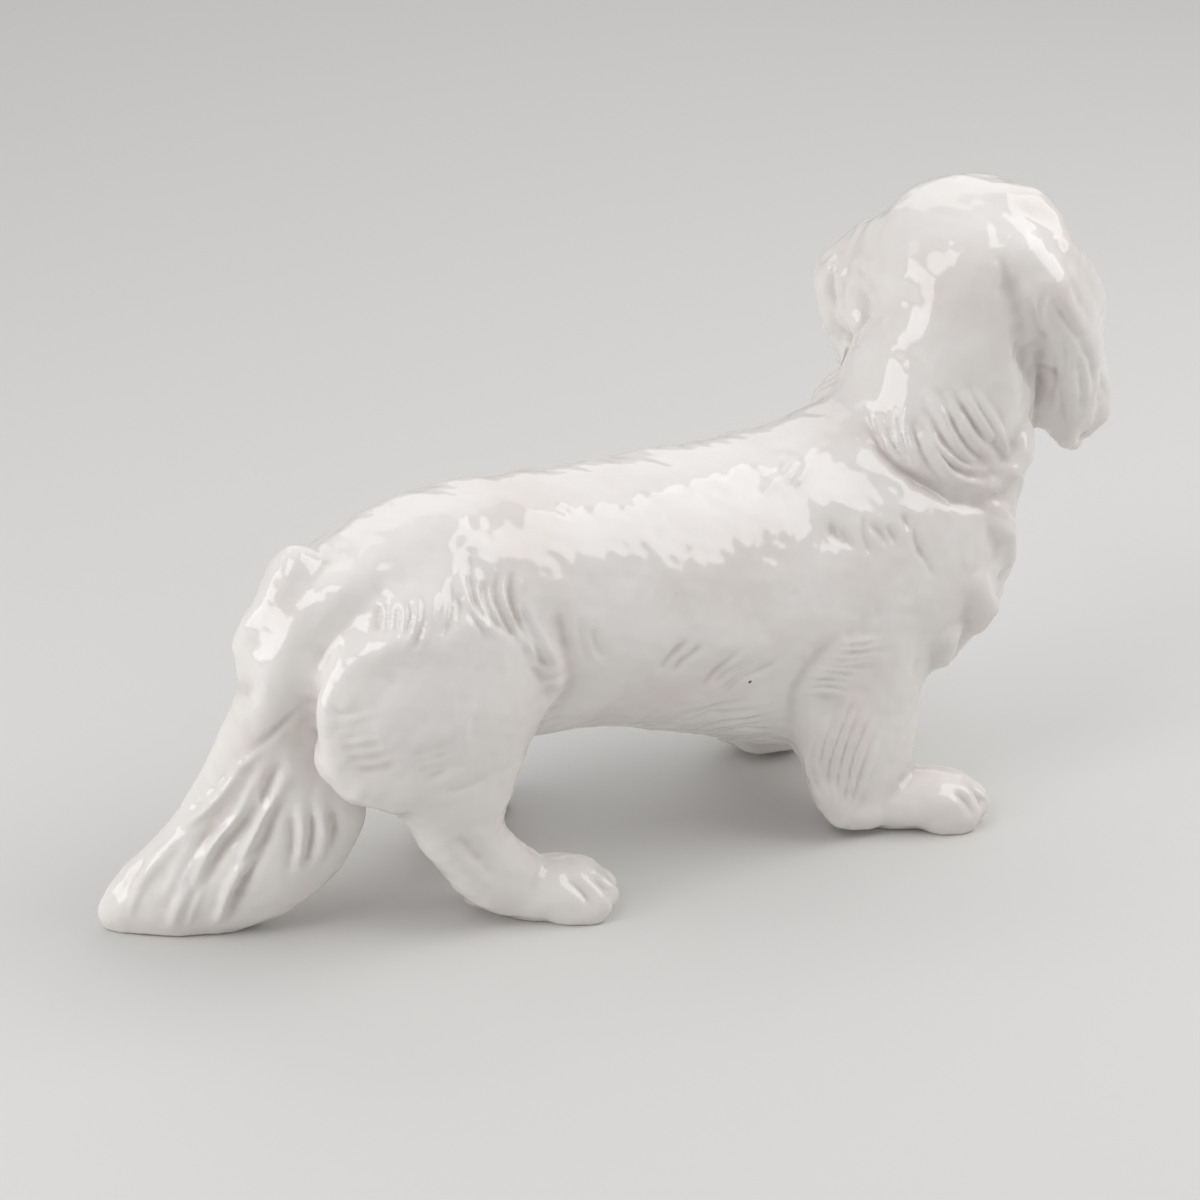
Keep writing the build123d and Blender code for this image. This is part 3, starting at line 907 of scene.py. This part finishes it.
def dots(spacing, radius, kept):
    """One on round dots of a radius in about the kept share of cells of a spacing, and zero elsewhere."""
    cells = add_node(tree, "TexVoronoi", {"Vector": place, "Scale": MM / spacing})
    chosen = add_node(tree, "Math", {0: cells.outputs["Color"], 1: kept}, operation="LESS_THAN").outputs[0]
    inside = add_node(tree, "MapRange", {
        "Value": cells.outputs["Distance"], "From Min": DOT_OUTER * radius / spacing,
        "From Max": DOT_INNER * radius / spacing,
    }).outputs[0]
    return add_node(tree, "Math", {0: inside, 1: chosen}, operation="MULTIPLY").outputs[0]


specks = dots(SPECK_SPACING, SPECK_RADIUS, SPECK_SHARE)
pinholes = dots(PINHOLE_SPACING, PINHOLE_RADIUS, PINHOLE_SHARE)
speckled = add_node(tree, "MixRGB", {
    "Fac": specks, "Color1": pooled_and_shaded, "Color2": linear("#8A7468"),
}).outputs[0]

# One larger speck of iron on the flank, as in the photograph
iron_place = Vector((seen_points(skin_tree(points, quads), [IRON_SPECK])[0] + ground) / MM)
iron_gap = add_node(tree, "VectorMath", {0: place, 1: iron_place}, operation="DISTANCE").outputs["Value"]
iron = add_node(tree, "MapRange", {
    "Value": iron_gap, "From Min": IRON_OUTER * IRON_RADIUS / MM, "From Max": IRON_INNER * IRON_RADIUS / MM,
}).outputs[0]
coloured = add_node(tree, "MixRGB", {
    "Fac": iron, "Color1": speckled, "Color2": linear("#5C4B40"),
}).outputs[0]
ripple = add_node(tree, "TexNoise", {
    "Vector": place, "Scale": MM / RIPPLE_SIZE, "Detail": RIPPLE_DETAIL,
}).outputs[0]
pricked = add_node(tree, "Math", {0: ripple, 1: pinholes}, operation="SUBTRACT").outputs[0]
peel = add_node(tree, "Bump", {
    "Height": pricked, "Strength": PEEL_STRENGTH, "Distance": PEEL_HEIGHT / MM,
}).outputs[0]
sheen = add_node(tree, "MapRange", {"Value": cloud, "To Min": GLOSSIEST, "To Max": DULLEST}).outputs[0]
glazed = add_node(tree, "BsdfPrincipled", {
    "Base Color": coloured, "Roughness": sheen, "Normal": peel, "IOR": GLAZE_IOR,
})
add_node(tree, "OutputMaterial", {"Surface": glazed.outputs[0]})


def piece(name, points, faces, material):
    """A mesh object of its own, with its place in its corners, in metres."""
    mesh = bpy.data.meshes.new(name)
    mesh.from_pydata((points + ground) / MM, [], faces)
    mesh.materials.append(material)
    mesh.shade_smooth()
    thing = bpy.data.objects.new(name, mesh)
    bpy.context.scene.collection.objects.link(thing)
    return thing


def rims(quads, count):
    """The open edges of a part of the skin, and for each the number of the rim that it lies on.

    Each corner takes the smallest corner number along its rim, in jumps that double.
    """
    ends = np.concatenate([quads[:, [side, (side + 1) % 4]] for side in range(4)])
    edges = ends[~np.isin(ends[:, 0] * count + ends[:, 1], ends[:, 1] * count + ends[:, 0])]
    label = np.arange(count)
    for _ in range(count.bit_length() * 2):
        np.minimum.at(label, edges[:, 0], label[edges[:, 1]])
        np.minimum.at(label, edges[:, 1], label[edges[:, 0]])
        label = label[label]
    return edges, np.unique(label[edges[:, 0]], return_inverse=True)[1]


# How far a rim's lips turn inwards, the least where the clay is thin, and the steps from there to the hub
# of the fan that closes the rim
SKIRT, THIN_SKIRT = 4, 0.3
SINK_STEPS = 8
clay = distances(points, quads)


def turned_in(lips):
    """The lips of a rim moved inwards by the skirt, or by less where the clay behind them is thin."""
    room = -sampled(clay, points[lips] - SKIRT * normals[lips])
    return points[lips] - np.clip(room, THIN_SKIRT, SKIRT)[:, None] * normals[lips]


def sunk(places):
    """Places moved deeper into the clay, a millimetre at a time down the slope of its distances."""
    for _ in range(SINK_STEPS):
        rises = [sampled(clay, places + way) - sampled(clay, places - way) for way in np.eye(3)]
        slope = np.stack(rises, axis=1)
        places = places - slope / (np.linalg.norm(slope, axis=1, keepdims=True) + TINY)
    return places


def casting(node, quads):
    """A casting's own part of the skin: each open rim turns inwards and is closed by a fan to a point."""
    used, faces = np.unique(quads, return_inverse=True)
    faces = faces.reshape(-1, 4)
    edges, rim = rims(faces, len(used))
    lips, first = np.unique(edges[:, 0], return_index=True)
    inner = turned_in(used[lips])
    hubs = sunk(np.array([inner[rim[first] == number].mean(0) for number in range(rim.max() + 1)]))
    inside = len(used) + np.searchsorted(lips, edges)
    skirts = np.column_stack([edges[:, ::-1], inside])
    fans = np.column_stack([inside[:, ::-1], len(used) + len(lips) + rim])
    shape = np.concatenate([points[used], inner, hubs])
    thing = piece(node + "_glazed", shape, faces.tolist() + skirts.tolist() + fans.tolist(), glaze)
    outward = np.concatenate([normals[used], normals[used[lips]], np.tile(UP, (len(hubs), 1))])
    thing.data.normals_split_custom_set_from_vertices(outward)
    # Each corner's share of the hollows' painted shade and glaze pooling
    pool_and_shade = thing.data.attributes.new("pooling_and_shade", "FLOAT", "POINT")
    pool_and_shade.data.foreach_set("value", np.concatenate([pooling_and_shade[used], np.zeros(len(lips) + len(hubs))]))
    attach(thing, "root")
    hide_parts(node)


for number, node in enumerate(nodes):
    casting(node, quads[seams == number])

# A floor of matt backdrop paper
FLOOR_HALF = 12000
PAPER_ROUGHNESS = 0.9
floor_corners = np.column_stack([FLOOR_HALF * SQUARE, np.zeros(len(SQUARE))])
paper, tree = new_material("pale_backdrop_paper")
matt = add_node(tree, "BsdfPrincipled", {"Base Color": linear("#DAD9D7"), "Roughness": PAPER_ROUGHNESS})
add_node(tree, "OutputMaterial", {"Surface": matt.outputs[0]})
floor = piece("floor", floor_corners, [(0, 1, 2, 3)], paper)

# Soft studio light: pale surroundings, and lamps given by the way to each from the figure, its distance,
# width and height, and its glow in watts per square metre
STUDIO_GLOW = 0.49
SOFTBOXES = {
    "key_softbox": ((0.63, -0.32, 0.707), 1300, 1150, 1050, 7.0),
    "top_softbox": ((-0.58, -0.2, 0.79), 1300, 560, 560, 8.0),
    "left_softbox": ((-0.587, 0.492, 0.643), 1300, 420, 420, 2.5),
    "rear_softbox": ((-0.945, 0.13, 0.3), 1500, 1150, 900, 8.0),
    "far_softbox": ((0.426, 0.609, 0.669), 1800, 2000, 1500, 2.2),
}
scene = bpy.context.scene
scene.view_settings.view_transform = "Standard"
world = bpy.data.worlds.new("studio")
world.use_nodes = True
surroundings = world.node_tree.nodes["Background"]
surroundings.inputs["Color"].default_value = linear("#E8E8E8")
surroundings.inputs["Strength"].default_value = STUDIO_GLOW
scene.world = world


def softbox(name, way, distance, width, height, glow):
    """A lamp that faces the middle of the figure, with the same glow on each square metre."""
    lamp = bpy.data.lights.new(name, "AREA")
    lamp.shape = "RECTANGLE"
    lamp.size, lamp.size_y = width / MM, height / MM
    lamp.energy = glow * lamp.size * lamp.size_y
    thing = bpy.data.objects.new(name, lamp)
    place = Vector((AIM + distance * np.array(way) + ground) / MM)
    thing.location = place
    thing.rotation_euler = (place - Vector((AIM + ground) / MM)).to_track_quat("Z", "Y").to_euler()
    scene.collection.objects.link(thing)


for name, lamp in SOFTBOXES.items():
    softbox(name, *lamp)

# The camera, with the lens that gives the photograph's scale at the aim
SENSOR_WIDTH = 36
camera_data = bpy.data.cameras.new("camera")
camera_data.sensor_width = SENSOR_WIDTH
camera_data.lens = SENSOR_WIDTH * PIXELS_PER_MM * CAMERA_DISTANCE / PHOTO_SIDE
camera = bpy.data.objects.new("camera", camera_data)
camera.location = (camera_place + ground) / MM
camera.rotation_euler = Vector(-view_ahead).to_track_quat("Z", "Y").to_euler()
scene.collection.objects.link(camera)
scene.camera = camera
